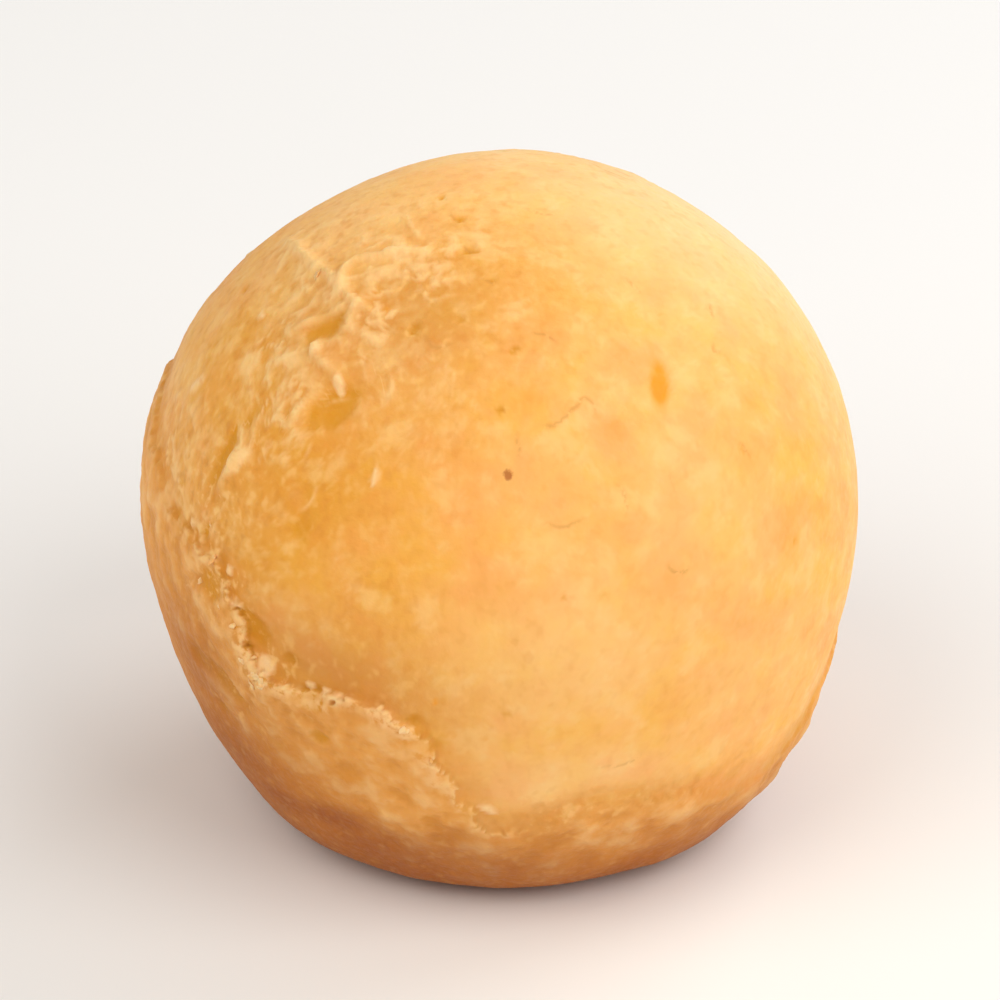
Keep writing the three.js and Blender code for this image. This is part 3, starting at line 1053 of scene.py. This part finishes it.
def flakes_tree():
    inputs = [("Geometry", "NodeSocketGeometry")]
    inputs += [(name, "NodeSocketFloat", value) for name, value in FLAKES.items()]
    inputs += [("Seed", "NodeSocketInt", FLAKE_SEED)]
    tree, given, result = new_group("Baked flakes", inputs, [("Geometry", "NodeSocketGeometry")])
    seed = out(given, "Seed")
    lip = attribute(tree, "lip").between(0.3, 0.8)
    crumbly = attribute(tree, "crumbly").between(0.5, 1.0)
    veins = attribute(tree, "vein").between(0.5, 1.2)
    density = (lip * (crumbly + 0.35) + crumbly * 0.15 + veins * 0.08) * out(given, "Density")
    values = {"Mesh": out(given, "Geometry"), "Density": density, "Seed": seed}
    points = add(tree, "GeometryNodeDistributePointsOnFaces", values, distribute_method="RANDOM")
    least, most = (-MOST_TIPPED, -MOST_TIPPED, 0.0), (MOST_TIPPED, MOST_TIPPED, 2 * math.pi)
    turned = add(tree, "FunctionNodeRotateRotation", rotation_space="LOCAL")
    plug(turned.inputs["Rotation"], out(points, "Rotation"))
    plug(turned.inputs["Rotate By"], random_between(tree, seed, least, most, "FLOAT_VECTOR"))
    flakes = out(add(tree, "GeometryNodeInstanceOnPoints", {
        "Points": out(points),
        "Instance": flat_blob(tree, out(given, "Thickness")),
        "Rotation": out(turned),
        "Scale": random_between(tree, seed, out(given, "Smallest"), out(given, "Largest")),
    }))
    flakes = out(add(tree, "GeometryNodeRealizeInstances", {"Geometry": flakes}))
    here = out(tree.nodes.new("GeometryNodeInputPosition"))
    dent = noise(tree, here, DENT_SIZE, 2, 0.6, "Color").vector("SUBTRACT", (0.5, 0.5, 0.5))
    values = {"Geometry": flakes, "Offset": dent.scaled(out(given, "Dents"))}
    finish_tree(tree, result, out(add(tree, "GeometryNodeSetPosition", values)), pale_flake)
    return tree


flakes = new_object("crust_flakes", body.data.copy())
use_tree(flakes, flakes_tree(), {**FLAKES, "Seed": FLAKE_SEED})
settle(flakes)

# %% [markdown]
# ## Baked grain, shared by both materials
# Seen from near, baked dough is smeared where it was pulled and a little uneven all over. The
# group below makes these as plain values from 0 to 1, and one height in metres. The crust and the
# flakes both use it, each with its own sizes.

# %% Build the grain group
GRAIN = {
    "Stroke size": 0.9 * MM,
    "Fine size": 0.5 * MM,
    "Fine height": 0.07 * MM,
}
GRAIN_RESULTS = ("Strokes", "Fine", "Height")
PULLED_UPWARDS = (1.0, 1.0, 0.75)  # strokes are a third longer upright


def grain_group():
    inputs = [("Place", "NodeSocketVector")]
    inputs += [(name, "NodeSocketFloat", size) for name, size in GRAIN.items()]
    outputs = [(name, "NodeSocketFloat") for name in GRAIN_RESULTS]
    tree, given, result = new_group("Baked grain", inputs, outputs, "ShaderNodeTree")
    place = out(given, "Place")
    pulled = place.vector("MULTIPLY", PULLED_UPWARDS)
    strokes = noise(tree, pulled, out(given, "Stroke size"), 1, 0.6)
    fine = noise(tree, place, out(given, "Fine size"), 2, 0.6)
    height = fine * out(given, "Fine height")
    for name, value in zip(GRAIN_RESULTS, (strokes, fine, height)):
        plug(result.inputs[name], value)
    return tree


def use_grain(tree, place, **values):
    """Places the group in a material, with sizes of the material's own where it gives them."""
    node = add(tree, "ShaderNodeGroup", node_tree=baked_grain)
    plug(node.inputs["Place"], place)
    for name, size in {**GRAIN, **values}.items():
        plug(node.inputs[name], size)
    return [out(node, name) for name in GRAIN_RESULTS]


baked_grain = grain_group()
print("grain group has", len(baked_grain.nodes), "nodes")

# %% [markdown]
# ## Golden crust
# The material lays over the broad colours what is finer than the points of the mesh. Rough skin is
# smeared with darker and paler gold. Veins and folds are pale cream, partly their own tone and
# partly painted highlight on their ridges, and the torn lip has a painted highlight along its edge.
# Hair cracks and the gaps between crumbs are brown.

# %% List the fine layers of the crust
WRINKLE_HALF_WIDTH = 0.22 * MM
CRACK_HALF_WIDTH = 0.18 * MM


def stored(tree, name, result="Fac"):
    """What an earlier tree stored on the points, as a material reads it."""
    return out(add(tree, "ShaderNodeAttribute", attribute_name=name), result)


def rough_skin(tree):
    """0 on the smooth dome, up to 1 where the skin crumpled or crumbled."""
    rough = stored(tree, "dusky") * 0.6
    for name in ("crumpled", "crumbly", "below"):
        rough = rough.math("MAXIMUM", stored(tree, name))
    return rough


def fine_layers(tree, rough, strokes, fine):
    crumbly = stored(tree, "crumbly")
    bare = 1 - stored(tree, "pit") * 0.8
    streaky = rough.between(0.0, 0.8, 0.12, 0.5, smooth=False)
    streaky = streaky * (1 - stored(tree, "below") * 0.7) * bare
    wrinkle = stored(tree, "wrinkle_across").bell(WRINKLE_HALF_WIDTH)
    wrinkle = wrinkle * stored(tree, "wrinkle_strength")
    # veins and folds are pale cream, partly their own tone and partly painted highlight on the
    # ridges
    veins = stored(tree, "vein") * 0.7 * bare + wrinkle * 0.8 + stored(tree, "fold") * 0.9
    crumbs = fine * 0.5 + strokes * 0.5
    # a painted highlight along the torn lip's edge, broken up by the crumb noise
    lip_highlight = stored(tree, "lip").between(0.15, 0.7) * crumbs.between(0.36, 0.54)
    crack = stored(tree, "crack_across").bell(CRACK_HALF_WIDTH)
    crack = crack * stored(tree, "crack_strength").between(0.2, 0.9) * fine.between(0.36, 0.52)
    return [
        (strokes.between(0.5, 0.25) * streaky, (220, 140, 36)),
        (strokes.between(0.52, 0.78) * streaky, (253, 202, 118)),
        (veins.math("MINIMUM", 1.0) * 0.75, (254, 210, 144)),
        (lip_highlight * 0.8, (250, 202, 138)),
        (crumbly * crumbs.between(0.52, 0.66) * 0.6, (250, 200, 128)),
        (crumbly * crumbs.between(0.48, 0.34) * 0.5, (206, 138, 36)),
        (crack * 0.5, (206, 142, 62)),
    ]


print(f"a hair crack is painted about {2 * CRACK_HALF_WIDTH / MM:.2f} mm wide")

# %% [markdown]
# Here and there a crumb of cheese burnt to a small brown speck. Its edge is frayed by the grain.

# %% List the burnt specks
SPECKS = [
    # azimuth and elevation in degrees, radius in millimetres
    (1.5, 32.3, 0.36), (-172, 52, 0.3),
]
SPECK_FADES, SPECK_ENDS = 0.5, 1.3  # as shares of its radius
FRAYED_BY = 0.6 * MM


def speck_layers(place, fine):
    on_ball = place.vector("SUBTRACT", MIDDLE).vector("NORMALIZE").scaled(MEAN_RADIUS)
    layers = []
    for azimuth, elevation, radius in SPECKS:
        spot = tuple(ray(azimuth, elevation) * MEAN_RADIUS)
        away = on_ball.vector("DISTANCE", spot, result="Value") + (fine - 0.5) * FRAYED_BY
        share = away.between(radius * SPECK_ENDS * MM, radius * SPECK_FADES * MM) * 0.8
        layers.append((share, (172, 92, 20)))
    return layers


print(len(SPECKS), "burnt specks")

# %% [markdown]
# Light goes a short way into dough before it comes back out, which softens the shades. Subsurface
# scattering does this, and red light travels furthest. The finest grain is only a bump.

# %% Mix the crust's material


def start_material(material, **grain):
    """The nodes of a material, its shader, and the baked grain at each place."""
    material.use_nodes = True
    tree = material.node_tree
    place = out(tree.nodes.new("ShaderNodeTexCoord"), "Object")
    return tree, tree.nodes["Principled BSDF"], place, *use_grain(tree, place, **grain)


def finish_shader(tree, shader, height, **constants):
    for name, value in constants.items():
        shader.inputs[name.replace("_", " ")].default_value = value
    bump = add(tree, "ShaderNodeBump", {"Height": height, "Strength": 1.0, "Distance": 1.0})
    plug(shader.inputs["Normal"], out(bump))


def mix_golden_crust():
    tree, shader, place, strokes, fine, height = start_material(golden_crust)
    rough = rough_skin(tree)
    layers = fine_layers(tree, rough, strokes, fine) + speck_layers(place, fine)
    colour = paint_layers(tree, stored(tree, "broad_colour", "Color"), layers)
    plug(shader.inputs["Base Color"], colour)
    plug(shader.inputs["Roughness"], fine.between(0.3, 0.7, 0.5, 0.68))
    height = height * rough.between(0.0, 1.0, 0.6, 1.4, smooth=False)
    finish_shader(
        tree, shader, height,
        Subsurface_Weight=0.22, Subsurface_Radius=(1.0, 0.45, 0.18), Subsurface_Scale=1.4 * MM,
        Specular_IOR_Level=0.4,
    )


mix_golden_crust()
print("golden crust has", len(golden_crust.node_tree.nodes), "nodes")

# %% [markdown]
# ## Pale flakes
# The flakes are drier than the crust, so they are paler and shine less. A few of them caught more
# heat and turned toasty, most of all near the tray.

# %% Mix the flakes' material
TOASTED_UNDER = 10 * MM  # above the tray


def mix_pale_flake():
    grain = {"Fine size": 0.8 * MM}
    tree, shader, place, strokes, fine, height = start_material(pale_flake, **grain)
    altitude = place.vector("DOT_PRODUCT", (0, 0, 1), result="Value")
    colour = colour_mix(tree, fine.between(0.42, 0.62), (255, 207, 148), (245, 179, 104))
    colour = paint_layers(tree, colour, [
        (strokes.between(0.5, 0.25) * 0.25, (232, 162, 84)),
        (altitude.between(TOASTED_UNDER, HEAT_FULL) * 0.7, (196, 122, 52)),
    ])
    plug(shader.inputs["Base Color"], colour)
    finish_shader(
        tree, shader, height,
        Subsurface_Weight=0.3, Subsurface_Radius=(1.0, 0.5, 0.25), Subsurface_Scale=0.6 * MM,
        Roughness=0.62,
    )


mix_pale_flake()
print("pale flake has", len(pale_flake.node_tree.nodes), "nodes")

# %% [markdown]
# Both pieces belong to the one solid of the ball, so they ride on its root.

# %% Tie the pieces to the solid
for piece in (body, flakes):
    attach(piece, "root")
    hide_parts("cheese_ball")
    print(piece.name, "rides on root")

# %% [markdown]
